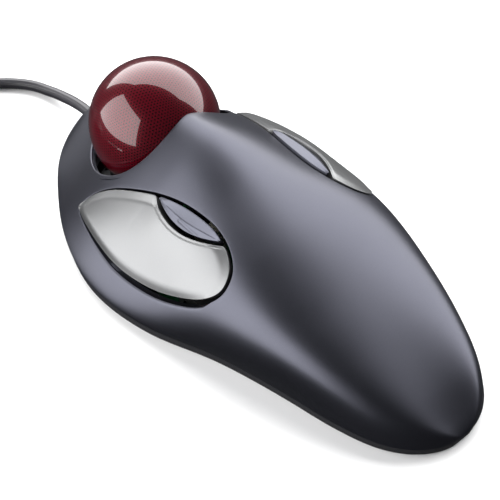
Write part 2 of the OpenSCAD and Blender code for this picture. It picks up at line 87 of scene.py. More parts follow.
class Shader:
    """A node material with one Principled shader, and small helpers to feed it."""

    def __init__(self, name, colour, roughness, **sockets):
        self.material = bpy.data.materials.new(name)
        self.material.use_nodes = True
        self.tree = self.material.node_tree
        self.bsdf = self.tree.nodes["Principled BSDF"]
        self.set("Base Color", (*colour, 1))
        self.set("Roughness", roughness)
        for key, value in sockets.items():
            self.set(key.replace("_", " ").title(), value)
        self.where = self.node("ShaderNodeTexCoord").outputs["Object"]

    def set(self, socket, value):
        self.bsdf.inputs[socket].default_value = value

    def node(self, kind, inputs=None, **settings):
        made = self.tree.nodes.new(kind)
        for key, value in settings.items():
            setattr(made, key, value)
        for key, value in (inputs or {}).items():
            if isinstance(value, bpy.types.NodeSocket):
                self.tree.links.new(value, made.inputs[key])
            else:
                made.inputs[key].default_value = value
        return made

    def link(self, output, socket):
        self.tree.links.new(output, self.bsdf.inputs[socket])

    def math(self, operation, a, b=0.0, c=0.0):
        return self.node("ShaderNodeMath", {0: a, 1: b, 2: c}, operation=operation).outputs[0]

    def noise(self, size, detail=2.0, rough=0.5):
        """Noise whose grains are about size millimetres across."""
        settings = {"Vector": self.where, "Scale": 1 / (size * MM), "Detail": detail, "Roughness": rough}
        return self.node("ShaderNodeTexNoise", settings).outputs["Fac"]

    def blend(self, factor, first, second):
        """Colour between two colours."""
        made = self.node("ShaderNodeMix", data_type="RGBA")
        for key, value in (("Factor", factor), ("A", first), ("B", second)):
            socket = next(s for s in made.inputs
                          if s.name == key and (key == "Factor" or s.type == "RGBA"))
            if isinstance(value, bpy.types.NodeSocket):
                self.tree.links.new(value, socket)
            else:
                socket.default_value = value if key == "Factor" else (*value, 1)
        return next(s for s in made.outputs if s.type == "RGBA")

    def spread(self, value, low, high):
        """Stretches a 0 to 1 value to low to high."""
        inputs = {"Value": value, "To Min": low, "To Max": high}
        return self.node("ShaderNodeMapRange", inputs).outputs[0]

    def bump(self, height, strength, depth):
        """Bump of the given depth in millimetres."""
        inputs = {"Height": height, "Strength": strength, "Distance": depth * MM}
        if self.bsdf.inputs["Normal"].is_linked:
            inputs["Normal"] = self.bsdf.inputs["Normal"].links[0].from_socket
        self.link(self.node("ShaderNodeBump", inputs).outputs[0], "Normal")


def vary(shader, colour, amount, size):
    """Slow change of colour over the surface, by a share of the colour."""
    low = [c * (1 - amount) for c in colour]
    high = [min(c * (1 + amount), 1) for c in colour]
    shader.link(shader.blend(shader.noise(size, 3), low, high), "Base Color")


def satin_paint(name, colour, roughness, metallic, flake):
    """Metallic lacquer: fine flakes in the colour, faint orange peel, and slight rubbing."""
    s = Shader(name, colour, roughness, metallic=metallic)
    s.set("Coat Weight", 0.08)
    s.set("Coat Roughness", 0.3)
    flakes = s.spread(s.noise(0.16, 2, 0.7), 1 - flake, 1 + flake)
    scaled = s.node("ShaderNodeVectorMath", {0: colour, "Scale": flakes}, operation="SCALE")
    s.link(scaled.outputs[0], "Base Color")
    s.link(s.spread(s.noise(9, 4, 0.6), roughness - 0.03, roughness + 0.03), "Roughness")
    s.bump(s.noise(0.3, 3, 0.6), 0.12, 0.02)
    return s.material


def moulded(name, colour, roughness, grain=0.35, depth=0.03, **sockets):
    """Moulded plastic or rubber with a fine spark-eroded grain."""
    s = Shader(name, colour, roughness, **sockets)
    vary(s, colour, 0.12, 6)
    s.link(s.spread(s.noise(2.5, 3), roughness - 0.05, roughness + 0.05), "Roughness")
    s.bump(s.noise(grain, 3, 0.6), 0.5, depth)
    return s.material


def bare_metal(name, colour, roughness, stretch=(1, 1, 1)):
    """Metal with fine scratches, drawn out along the axis with the small number."""
    s = Shader(name, colour, roughness, metallic=1.0)
    scale = tuple(x / (0.4 * MM) for x in stretch)
    along = s.node("ShaderNodeMapping", {"Vector": s.where, "Scale": scale}).outputs[0]
    marks = s.node("ShaderNodeTexNoise", {"Vector": along, "Scale": 1.0, "Detail": 4.0}).outputs["Fac"]
    s.link(s.spread(marks, roughness - 0.07, roughness + 0.12), "Roughness")
    vary(s, colour, 0.06, 4)
    s.bump(marks, 0.15, 0.01)
    return s.material


def ball_resin():
    """Deep red polished resin over a layer with an even grid of small dark dots."""
    s = Shader("ball_coat", (0.07, 0.002, 0.006), 0.3, metallic=0.3)
    s.set("Specular IOR Level", 0.1)
    s.set("Coat Weight", 1.0)
    s.set("Coat Roughness", 0.015)
    s.set("Coat IOR", 1.42)
    grid = s.node("ShaderNodeAttribute", attribute_name="dot_grid").outputs["Vector"]

    def distance(shift):
        """Distance to the nearest point of one of the two square lattices of a hexagonal grid."""
        def step(operation, first, second=(0, 0, 0)):
            return s.node("ShaderNodeVectorMath", {0: first, 1: second}, operation=operation)

        spaced = step("ADD", grid, shift).outputs[0]
        cell = step("MULTIPLY", spaced, (1, 1 / math.sqrt(3), 1)).outputs[0]
        off = step("ADD", cell, (0.5, 0.5, 0)).outputs[0]
        part = step("FRACTION", off).outputs[0]
        back = step("SUBTRACT", part, (0.5, 0.5, 0)).outputs[0]
        flat = step("MULTIPLY", back, (1, math.sqrt(3), 0)).outputs[0]
        return step("LENGTH", flat).outputs["Value"]

    nearest = s.math("MINIMUM", distance((0, 0, 0)), distance((0.5, math.sqrt(3) / 2, 0)))
    dot = s.node("ShaderNodeMapRange", {"Value": nearest, "From Min": 0.19, "From Max": 0.31}).outputs[0]
    cloudy = s.blend(s.noise(7, 3), (0.055, 0.0008, 0.004), (0.08, 0.0014, 0.006))
    s.link(s.blend(dot, (0.006, 0.0005, 0.001), cloudy), "Base Color")
    return s.material


def cable_jacket():
    s = Shader("cable_jacket", (0.02, 0.019, 0.024), 0.42)
    vary(s, (0.02, 0.019, 0.024), 0.15, 12)
    s.bump(s.noise(0.25, 3), 0.3, 0.02)
    return s.material


SHELL_GREY = (0.052, 0.053, 0.066)
KEY_SILVER = (0.15, 0.152, 0.154)
SMALL_KEY_BLUE = (0.06, 0.062, 0.078)

looks = {
    "shell_paint": satin_paint("shell_paint", SHELL_GREY, 0.37, 0.95, 0.25),
    "main_key": satin_paint("main_key", KEY_SILVER, 0.38, 0.85, 0.12),
    "small_key": satin_paint("small_key", SMALL_KEY_BLUE, 0.36, 0.85, 0.15),
    "ball_coat": ball_resin(),
    "ball_resin": moulded("ball_resin", (0.08, 0.004, 0.01), 0.3, 1.5, 0.02),
    "base_plastic": moulded("base_plastic", (0.012, 0.012, 0.014), 0.5, 0.4, 0.04),
    "socket_plastic": moulded("socket_plastic", (0.008, 0.008, 0.009), 0.55, 0.5, 0.03),
    "bearing": bare_metal("bearing", (0.8, 0.8, 0.82), 0.12),
    "circuit_board": moulded("circuit_board", (0.012, 0.08, 0.03), 0.3, 0.6, 0.02, coat_weight=0.3),
    "inner_plastic": moulded("inner_plastic", (0.015, 0.015, 0.017), 0.5),
    "chip_black": moulded("chip_black", (0.01, 0.01, 0.011), 0.45, 0.2, 0.02),
    "lens_plastic": moulded("lens_plastic", (0.6, 0.68, 0.72), 0.1, 3, 0.01, transmission_weight=0.8),
    "led_epoxy": moulded("led_epoxy", (0.1, 0.09, 0.16), 0.12, 2, 0.01),
    "tin_plate": bare_metal("tin_plate", (0.62, 0.63, 0.64), 0.25, (1, 0.1, 1)),
    "capacitor_sleeve": moulded("capacitor_sleeve", (0.01, 0.012, 0.05), 0.25, 1.2, 0.02),
    "ceramic": moulded("ceramic", (0.4, 0.28, 0.14), 0.5, 0.15, 0.02),
    "gold_contact": bare_metal("gold_contact", (0.75, 0.5, 0.16), 0.22, (1, 0.1, 1)),
    "connector_nylon": moulded("connector_nylon", (0.7, 0.66, 0.56), 0.5, 0.5, 0.03),
    "switch_body": moulded("switch_body", (0.012, 0.012, 0.012), 0.5, 0.3, 0.03),
    "switch_plunger": moulded("switch_plunger", (0.45, 0.05, 0.025), 0.45, 0.3, 0.02),
    "small_plunger": moulded("small_plunger", (0.02, 0.02, 0.022), 0.4, 0.3, 0.02),
    "screw_steel": bare_metal("screw_steel", (0.45, 0.45, 0.47), 0.3),
    "foot_rubber": moulded("foot_rubber", (0.018, 0.018, 0.02), 0.75, 0.5, 0.05),
    "label_film": bare_metal("label_film", (0.5, 0.5, 0.51), 0.36, (0.05, 1, 1)),
    "wire_sleeve": moulded("wire_sleeve", (0.01, 0.01, 0.012), 0.5, 0.4, 0.02),
    "grommet_rubber": moulded("grommet_rubber", (0.011, 0.011, 0.013), 0.55, 0.4, 0.03),
    "cable_jacket": cable_jacket(),
    "tie_plastic": moulded("tie_plastic", (0.009, 0.009, 0.01), 0.6, 0.25, 0.08),
    "plug_overmould": moulded("plug_overmould", (0.014, 0.014, 0.016), 0.5, 0.45, 0.05),
    "plug_steel": bare_metal("plug_steel", (0.6, 0.6, 0.61), 0.2, (1, 0.08, 1)),
    "plug_insulator": moulded("plug_insulator", (0.75, 0.75, 0.74), 0.4, 0.4, 0.02),
}


def dress_cad_nodes():
    """Every CAD node takes its slot's material, whether it stays in view or not."""
    for part in frame["record"]["subparts"]:
        mesh = nodes[part["node"]].data
        mesh.materials.clear()
        mesh.materials.append(looks[part["material_slot"]])


dress_cad_nodes()


# ---------------------------------------------------------------- mesh helpers


def add_piece(name, points, faces, body, slot, replaces=(), sharp=35):
    """Makes a piece from points in millimetres, smooth but for edges over sharp degrees."""
    mesh = bpy.data.meshes.new(name)
    mesh.from_pydata([tuple(p) for p in np.asarray(points, float) * MM], [], [tuple(f) for f in faces])
    mesh.update()
    mesh.polygons.foreach_set("use_smooth", [True] * len(mesh.polygons))
    mesh.set_sharp_from_angle(angle=math.radians(sharp))
    mesh.materials.append(looks[slot])
    piece = bpy.data.objects.new(name, mesh)
    scene.collection.objects.link(piece)
    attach(piece, body)
    if replaces:
        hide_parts(*replaces)
    return piece


def joined(*parts):
    """Several (points, faces) as one."""
    points, faces, start = [], [], 0
    for some_points, some_faces in parts:
        points.extend(some_points)
        faces.extend([tuple(i + start for i in f) for f in some_faces])
        start += len(some_points)
    return points, faces


def ring_faces(count, sides, caps=True):
    """Faces of a tube of rings of points; each ring turns anticlockwise seen from the tube's end."""
    faces = []
    for i in range(count - 1):
        for j in range(sides):
            k = (j + 1) % sides
            faces.append((i * sides + j, i * sides + k, (i + 1) * sides + k, (i + 1) * sides + j))
    if caps:
        faces.append(tuple(reversed(range(sides))))
        faces.append(tuple((count - 1) * sides + j for j in range(sides)))
    return faces


def lathe(profile, steps=48):
    """(radius, height) pairs, turned about +Z from the lowest end to the highest or round a section."""
    rings = []
    for r, z in profile:
        r = max(r, 0.001)
        rings.extend((r * math.cos(2 * math.pi * k / steps), r * math.sin(2 * math.pi * k / steps), z)
                     for k in range(steps))
    return rings, ring_faces(len(profile), steps)


def placed(shape, matrix):
    """(points, faces) moved by a 4x4 matrix in millimetres."""
    points, faces = shape
    m = np.array(matrix)
    moved = np.asarray(points, float) @ m[:3, :3].T + m[:3, 3]
    return list(map(tuple, moved)), faces


def smooth_path(points, step):
    """Even points, step apart, on a smooth curve through the given ones."""
    p = np.asarray(points, float)
    p = np.vstack([2 * p[0] - p[1], p, 2 * p[-1] - p[-2]])
    fine = []
    for i in range(1, len(p) - 2):
        for f in np.linspace(0, 1, 24, endpoint=False):
            a, b, c, d = p[i - 1], p[i], p[i + 1], p[i + 2]
            fine.append(b + 0.5 * ((c - a) * f + (2 * a - 5 * b + 4 * c - d) * f * f
                                   + (3 * b - a - 3 * c + d) * f ** 3))
    fine.append(p[-2])
    fine = np.array(fine)
    run = np.concatenate([[0], np.cumsum(np.linalg.norm(np.diff(fine, axis=0), axis=1))])
    even = np.linspace(0, run[-1], max(2, round(run[-1] / step) + 1))
    return np.stack([np.interp(even, run, fine[:, k]) for k in range(3)], 1)


def sweep(path, section):
    """Carries a closed section, in the plane across the path, along it without twist."""
    path = np.asarray(path, float)
    way = np.gradient(path, axis=0)
    way /= np.linalg.norm(way, axis=1)[:, None]
    side = np.cross(way[0], (0, 0, 1.0))
    side /= np.linalg.norm(side)
    rings = []
    for p, t in zip(path, way):
        side = side - (side @ t) * t
        side /= np.linalg.norm(side)
        up = np.cross(side, t)
        rings.extend(p + x * side + y * up for x, y in section)
    return rings, ring_faces(len(path), len(section))


# ---------------------------------------------------------------- cable

CABLE_D = 3.6
CABLE_RIBS = 12
RIB_DEPTH = 0.09
OUTLET = (-2, 79.5, 5.5)
CABLE_ROUTE = [
    OUTLET, (-2, 83, 5.4), (-2.1, 87, 5), (-2.3, 91, 4.3), (-2.6, 95, 3.4),
    (-3.1, 99, 2.6), (-4.1, 103, 2), (-5.7, 107, 1.9), (-8, 110.5, 1.9), (-11.2, 114, 1.9),
    (-15, 117.3, 1.9), (-20, 121.3, 1.9), (-25, 125.1, 1.9), (-30, 128.9, 1.9), (-35, 132.6, 1.9),
    (-39, 135.6, 2.1),
]
TAIL_ROUTE = [
    (-84.8, 112, 13.2), (-84.5, 107.5, 12), (-84.2, 103, 9.9), (-84, 98.5, 7.4),
    (-83.8, 94, 5.3), (-83.8, 90, 4.2), (-83.9, 86, 4),
]
COIL_AT = (-59, 118)
COIL_START = 53.4
COIL_OUTER_R = 26
COIL_INNER_R = 14.2
COIL_PITCH = 3.7
COIL_LAYERS = 4
COIL_LAYER_Z = 3.68
COIL_LOW_Z = 2.4
COIL_RISE_TURNS = 0.2


def coil_turns():
    """The unseen length: flat spirals in and out by turns, one upon the other."""
    in_layer = (COIL_OUTER_R - COIL_INNER_R) / COIL_PITCH
    period = in_layer + COIL_RISE_TURNS
    total = COIL_LAYERS * period - COIL_RISE_TURNS
    points = []
    for t in np.linspace(0, total, round(total * 48)):
        layer = min(int(t / period), COIL_LAYERS - 1)
        within = t - layer * period
        run = min(within, in_layer) * COIL_PITCH
        r = COIL_OUTER_R - run if layer % 2 == 0 else COIL_INNER_R + run
        rise = max(within - in_layer, 0) / COIL_RISE_TURNS
        z = COIL_LOW_Z + COIL_LAYER_Z * (layer + (1 - math.cos(math.pi * rise)) / 2)
        a = math.radians(COIL_START) + 2 * math.pi * t
        points.append((COIL_AT[0] + r * math.cos(a), COIL_AT[1] + r * math.sin(a), z))
    return points


def ribbed_section(radius, ribs, depth):
    """Round section whose rim waves inwards by depth."""
    steps = ribs * 4
    turns = [2 * math.pi * k / steps for k in range(steps)]
    return [((radius - depth * (0.5 + 0.5 * math.cos(ribs * a))) * math.cos(a),
             (radius - depth * (0.5 + 0.5 * math.cos(ribs * a))) * math.sin(a)) for a in turns]


def make_cable():
    path = smooth_path([*CABLE_ROUTE, *coil_turns(), *TAIL_ROUTE], 1.3)
    shape = sweep(path, ribbed_section(CABLE_D / 2, CABLE_RIBS, RIB_DEPTH))
    piece = add_piece("cable_jacket_run", *shape, "casing", "cable_jacket",
                      ["cable", "cable_coil", "cable_tail"], sharp=60)
    return piece, [tuple(p * MM) for p in path]


cable, cable_path = make_cable()


# ---------------------------------------------------------------- the casing's skin

HALF_LENGTH = 82.9
EDGE_Z = 4.0
HALF_WIDTH = [40.3, 38.4, 36, 32.9, 31.5, 34.1, 41.5, 45.7, 45.2, 42.4, 40.1, 35.8, 33.1]
CREST_HEIGHT = [9.4, 12.3, 17.3, 21.4, 25.3, 29.5, 32.7, 36, 34.9, 28.6, 22.1, 18.6, 17.2]
EDGE_ANGLE = [51, 63, 80, 90, 101, 110, 107, 90, 74, 45, 31, 30, 33]
FLANK_PULL = [0.57, 0.57, 0.55, 0.54, 0.46, 0.32, 0.11, 0.05, 0.03, 0.06, 0.02, 0.06, 0.1]
CREST_PULL = [0.76, 0.72, 0.69, 0.8, 0.9, 0.8, 0.45, 0.24, 0.17, 0.02, 0.09, 0.43, 0.69]

BALL_AT = np.array([0, 46.7, 23.5])
BALL_R = 20.0
BALL_LEAN = 32.0
OPENING_R = 22.1
OPENING_BACK_R = 24.0
OPENING_BACK_SHIFT = 3.4

KEY_OUTLINE = [
    (30.4, 43.9), (27.2, 41.2), (24.5, 35.6), (22.2, 27.6), (19.9, 18.2), (18.2, 9.4), (17.5, 1),
    (17.9, -5.6), (19.9, -12.4), (23.4, -17.2), (28.2, -18.3), (32.4, -14), (36, -3.6),
    (38, 8), (38.3, 18), (36.9, 27.6), (34.7, 36.4), (32.6, 42.2),
]
KEY_GAP = 0.9
KEY_NOSE_GAP = 0.4
GAP_NARROW_Y = 42
GAP_FULL_Y = -5
LENS_AT = (-7.2, 5.2)
LENS_R = 30.5


def through(a, b, c, d, f):
    """Catmull-Rom curve from b to c, with its neighbours a and d."""
    bend = (2 * a - 5 * b + 4 * c - d) * f ** 2 + (3 * b - a - 3 * c + d) * f ** 3
    return b + 0.5 * ((c - a) * f + bend)


def station(values, t):
    """Smooth value through evenly spaced stations, t from 0 to 1; both ends are mirrored."""
    v = np.asarray(values, float)
    last = len(v) - 1
    s = np.clip(t, 0, 0.9999) * last
    i = s.astype(int)
    f = s - i
    a, b, c = v[np.where(i == 0, 1, i - 1)], v[i], v[i + 1]
    d = v[np.where(i == last - 1, last - 1, np.minimum(i + 2, last))]
    return through(a, b, c, d, f)


def skin(angle, u, grow=0.0):
    """Points of the casing's skin: angle 0 at the palm end to 180 at the nose, u -1 left to 1 right."""
    t = angle / 180
    sine = np.sin(np.radians(angle))
    w = sine * (station(HALF_WIDTH, t) + grow)
    h = sine * (station(CREST_HEIGHT, t) + grow)
    pull = station(FLANK_PULL, t) * np.sqrt(w * w + h * h)
    lean = np.radians(station(EDGE_ANGLE, t))
    s = 1 - np.abs(u)
    b0, b1, b2, b3 = (1 - s) ** 3, 3 * s * (1 - s) ** 2, 3 * s * s * (1 - s), s ** 3
    x = b0 * w + b1 * (w - pull * np.cos(lean)) + b2 * station(CREST_PULL, t) * w
    z = b1 * pull * np.sin(lean) + (b2 + b3) * h
    y = -(HALF_LENGTH + grow) * np.cos(np.radians(angle))
    return np.stack([np.sign(u) * x, y, EDGE_Z + z], -1)


def skin_normal(angle, u):
    """Outward unit normals of the skin."""
    da, du = 0.05, 0.001
    u = np.where(np.abs(u) < du, du, u)
    along = skin(angle + da, u) - skin(angle - da, u)
    across = skin(angle, np.clip(u + du, -1, 1)) - skin(angle, np.clip(u - du, -1, 1))
    n = np.cross(across, along)
    return n / np.linalg.norm(n, axis=-1)[:, None]


def closed_curve(points, steps):
    """Closed smooth curve through points."""
    p = np.asarray(points, float)
    a, b, c, d = np.roll(p, 1, 0), p, np.roll(p, -1, 0), np.roll(p, -2, 0)
    f = np.arange(steps)[None, :, None] / steps
    a, b, c, d = (q[:, None] for q in (a, b, c, d))
    curve = through(a, b, c, d, f)
    return curve.reshape(-1, 2)


CURVE_STEPS = 9
KEY_CURVE = closed_curve(KEY_OUTLINE, CURVE_STEPS)
# The outline's run along the ridge and round the palm end, and its run along the flank
INNER_RUN = KEY_CURVE[CURVE_STEPS // 2:10 * CURVE_STEPS]
OUTER_RUN = KEY_CURVE[11 * CURVE_STEPS:17 * CURVE_STEPS]


def reach_to(points, curve):
    """Distance in plan to an open run of points."""
    a, b = curve[:-1], curve[1:]
    out = np.empty(len(points))
    for chunk in np.array_split(np.arange(len(points)), len(points) // 6000 + 1):
        p = points[chunk][:, None]
        t = np.clip(((p - a) * (b - a)).sum(-1) / ((b - a) ** 2).sum(-1), 0, 1)
        out[chunk] = np.linalg.norm(p - a - t[..., None] * (b - a), axis=-1).min(1)
    return out


def inside_distance(points, curve=KEY_CURVE):
    """Signed distance to a closed curve in plan, positive inside. Far points get a rough value."""
    points = np.asarray(points, float)
    low, high = curve.min(0) - 4, curve.max(0) + 4
    middle, half = (low + high) / 2, (high - low) / 2
    out = -np.max(np.abs(points - middle) - half, axis=1) - 4
    near = np.where(np.all((points > low) & (points < high), axis=1))[0]
    a, b = curve, np.roll(curve, -1, 0)
    for chunk in np.array_split(near, len(near) // 4000 + 1):
        p = points[chunk][:, None]
        t = np.clip(((p - a) * (b - a)).sum(-1) / ((b - a) ** 2).sum(-1), 0, 1)
        reach = np.linalg.norm(p - a - t[..., None] * (b - a), axis=-1).min(1)
        x, y = p[..., 0], p[..., 1]
        with np.errstate(divide="ignore", invalid="ignore"):
            across = (b[:, 0] - a[:, 0]) * (y - a[:, 1]) / (b[:, 1] - a[:, 1]) + a[:, 0]
        crossed = ((a[:, 1] > y) != (b[:, 1] > y)) & (x < across)
        out[chunk] = np.where(crossed.sum(1) % 2 == 1, reach, -reach)
    return out


def key_gap(y):
    """Gap between the keys and the casing: narrow at the hinge, full at the palm end."""
    wide = np.clip((GAP_NARROW_Y - y) / (GAP_NARROW_Y - GAP_FULL_Y), 0, 1)
    return KEY_NOSE_GAP + (KEY_GAP - KEY_NOSE_GAP) * wide


def soft_min(a, b, k):
    """Smaller of two fields, rounded over k where they meet."""
    h = np.clip(0.5 + 0.5 * (b - a) / k, 0, 1)
    return b + (a - b) * h - k * h * (1 - h)


KEY_EDGE_R = 0.16
SHELL_EDGE_R = 0.2
SHELL_FLANK_EDGE_R = 0.95
FLANK_EDGE_FROM_Y = 40
FLANK_EDGE_FULL_Y = 18
KEYS_MIDDLE = (28, 13)
KEYS_REACH = (16, 38)


def shell_edge_radius(p):
    """Rounding of the shell round the keys: small along the ridge, large along the flank."""
    plan = np.stack([np.abs(p[:, 0]), p[:, 1]], 1)
    near = (np.abs(plan - KEYS_MIDDLE) < KEYS_REACH).all(1)
    share = np.zeros(len(p))
    inner, outer = reach_to(plan[near], INNER_RUN), reach_to(plan[near], OUTER_RUN)
    share[near] = np.clip((inner - outer) / (inner + outer) * 2, 0, 1)
    along = np.clip((FLANK_EDGE_FROM_Y - plan[:, 1]) / (FLANK_EDGE_FROM_Y - FLANK_EDGE_FULL_Y), 0, 1)
    return SHELL_EDGE_R + (SHELL_FLANK_EDGE_R - SHELL_EDGE_R) * share * along


LEAN_AXIS = np.array([0, math.sin(math.radians(BALL_LEAN)), math.cos(math.radians(BALL_LEAN))])
LEAN_FORWARD = np.array([0, math.cos(math.radians(BALL_LEAN)), -math.sin(math.radians(BALL_LEAN))])


def outside_opening(p):
    """Distance from the ball opening, positive outside it."""
    q = p - BALL_AT
    x, y = q[:, 0], q @ LEAN_FORWARD
    front = OPENING_R - np.hypot(x, y)
    back = OPENING_BACK_R - np.hypot(x, y - OPENING_BACK_SHIFT)
    far = np.where(q @ LEAN_AXIS < -12, -50.0, 0)
    return -soft_min(front, back, 1.2) - far


def outside_keys(p):
    """Distance from the key openings on both sides, positive outside them."""
    plan = np.stack([np.abs(p[:, 0]), p[:, 1]], 1)
    return -inside_distance(plan)


def outside_outlet(p):
    """Distance from the hole that the cable leaves by, positive outside it."""
    reach = np.hypot(p[:, 0] - OUTLET[0], p[:, 2] - OUTLET[2]) - 3.0
    return np.where(p[:, 1] > 60, reach, 50.0)


# ---------------------------------------------------------------- patches cut out of the skin


class Patch:
    """Part of the skin where field(points) is positive, cut exactly along the zero line."""

    def __init__(self, angles, us, field):
        self.angles, self.us, self.field = angles, us, field
        rows, columns = len(angles), len(us)
        i, j = np.meshgrid(np.arange(rows), np.arange(columns), indexing="ij")
        self.at = np.stack([i.ravel(), j.ravel()], 1).astype(float)
        self.value = self.measure(self.at)
        self.pull_near_points()
        a = (np.arange(rows - 1)[:, None] * columns + np.arange(columns - 1)).ravel()
        b, c, d = a + 1, a + columns + 1, a + columns
        self.clip(np.vstack([np.stack([a, b, c], 1), np.stack([a, c, d], 1)]))
        self.find_loops()

    def where(self, at):
        """Angle and u of grid places."""
        angle = np.interp(at[:, 0], np.arange(len(self.angles)), self.angles)
        return angle, np.interp(at[:, 1], np.arange(len(self.us)), self.us)

    def measure(self, at):
        return self.field(skin(*self.where(at)))

    def pull_near_points(self):
        """Moves grid points that are close to the cut onto it, so that no slivers are left."""
        for _ in range(3):
            slope = np.stack([(self.measure(self.at + step) - self.value) / 0.02
                              for step in ((0.02, 0), (0, 0.02))], 1)
            size = np.maximum((slope ** 2).sum(1), 1e-6)
            shift = -(self.value / size)[:, None] * slope
            inner = (self.at[:, 1] > 0.5) & (self.at[:, 1] < len(self.us) - 1.5)
            near = (np.abs(shift).max(1) < 0.3) & inner & (np.abs(self.value) < 2)
            if not hasattr(self, "pulled"):
                self.pulled = near
            self.at[self.pulled] += shift[self.pulled]
            self.value = self.measure(self.at)
        self.value[self.pulled] = 0.0

    def clip(self, triangles):
        """Keeps the positive side, with new points where an edge crosses the cut."""
        sign = np.sign(self.value).astype(int)[triangles]
        whole = (sign >= 0).all(1) & (sign > 0).any(1)
        mixed = (sign > 0).any(1) & (sign < 0).any(1)
        edges = np.sort(np.vstack([triangles[mixed][:, [0, 1]], triangles[mixed][:, [1, 2]],
                                   triangles[mixed][:, [2, 0]]]), axis=1)
        crossing = self.value[edges[:, 0]] * self.value[edges[:, 1]] < 0
        edges = np.unique(edges[crossing], axis=0)
        low, high = self.at[edges[:, 0]], self.at[edges[:, 1]]
        t_low, t_high = np.zeros(len(edges)), np.ones(len(edges))
        start = self.value[edges[:, 0]]
        for _ in range(18):
            t = (t_low + t_high) / 2
            same = self.measure(low + t[:, None] * (high - low)) * start > 0
            t_low, t_high = np.where(same, t, t_low), np.where(same, t_high, t)
        cut = {tuple(e): len(self.at) + n for n, e in enumerate(edges)}
        self.at = np.vstack([self.at, low + t[:, None] * (high - low)])
        self.value = np.concatenate([self.value, np.zeros(len(edges))])
        faces = [tuple(f) for f in triangles[whole]]
        for face in triangles[mixed]:
            polygon = []
            for k in range(3):
                a, b = int(face[k]), int(face[(k + 1) % 3])
                if self.value[a] >= 0:
                    polygon.append(a)
                if self.value[a] * self.value[b] < 0:
                    polygon.append(cut[(min(a, b), max(a, b))])
            if len(polygon) >= 3:
                faces.append(tuple(polygon))
        used = sorted({v for f in faces for v in f})
        new = {v: n for n, v in enumerate(used)}
        self.faces = [tuple(new[v] for v in f) for f in faces]
        self.at, self.value = self.at[used], self.value[used]

    def find_loops(self):
        """Open edges as closed loops of points, with the patch on their left."""
        edges = {(f[k], f[(k + 1) % len(f)]) for f in self.faces for k in range(len(f))}
        follow = {a: b for a, b in edges if (b, a) not in edges}
        self.loops = []
        while follow:
            start, point = next(iter(follow.items()))
            loop = [start]
            del follow[start]
            while point != start and point in follow:
                loop.append(point)
                point = follow.pop(point)
            self.loops.append(loop)

    def slope(self, points):
        """Direction in which the field grows, at points."""
        steps = np.eye(3) * 0.02
        grown = np.stack([self.field(points + s) - self.field(points - s) for s in steps], 1)
        return grown / np.linalg.norm(grown, axis=1)[:, None]


def unit(v):
    return v / np.maximum(np.linalg.norm(v, axis=-1), 1e-9)[..., None]


RIM_STEPS = 5


def rim(top, under, loop, outwards, down, radius, bottom):
    """Rounded edge and wall along a loop: returns its rings of points, from the top edge down.

    top is the loop's points on the outer face; under, the loop's points on the inner face, is not used.
    The edge rounds over radius towards outwards and then follows down to bottom.
    """
    corner = top + outwards * radius[:, None]
    foot = corner + down * radius[:, None]
    rings = []
    for t in np.linspace(0, 1, RIM_STEPS + 1)[1:]:
        rings.append((1 - t) ** 2 * top + 2 * t * (1 - t) * corner + t * t * foot)
    rings.append(bottom)
    return rings


def close_patch(points, under, faces, rims, plain_loops):
    """One closed solid from an outer face, an inner face, rims round its holes, and plain edges."""
    count = len(points)
    everything = [points, under]
    out = list(faces) + [tuple(v + count for v in reversed(f)) for f in faces]
    total = 2 * count
    for loop, rings in rims:
        ids = [np.array(loop)]
        for ring in rings:
            everything.append(ring)
            ids.append(np.arange(total, total + len(ring)))
            total += len(ring)
        ids.append(np.array(loop) + count)
        for upper, lower in zip(ids, ids[1:]):
            for k in range(len(loop)):
                m = (k + 1) % len(loop)
                out.append((upper[m], upper[k], lower[k], lower[m]))
    for loop in plain_loops:
        for k in range(len(loop)):
            a, b = loop[k], loop[(k + 1) % len(loop)]
            out.append((b, a, a + count, b + count))
    return np.vstack(everything), [tuple(int(v) for v in f) for f in out]


# ---------------------------------------------------------------- top shell

SHELL_WALL = 2.0
COLLAR_WALL = 1.4
COLLAR_LOW = -7.0
OPENING_EDGE_R = 0.55


def shell_field(p):
    keys = outside_keys(p) - shell_edge_radius(p)
    return np.minimum(np.minimum(keys, outside_opening(p) - OPENING_EDGE_R), outside_outlet(p))


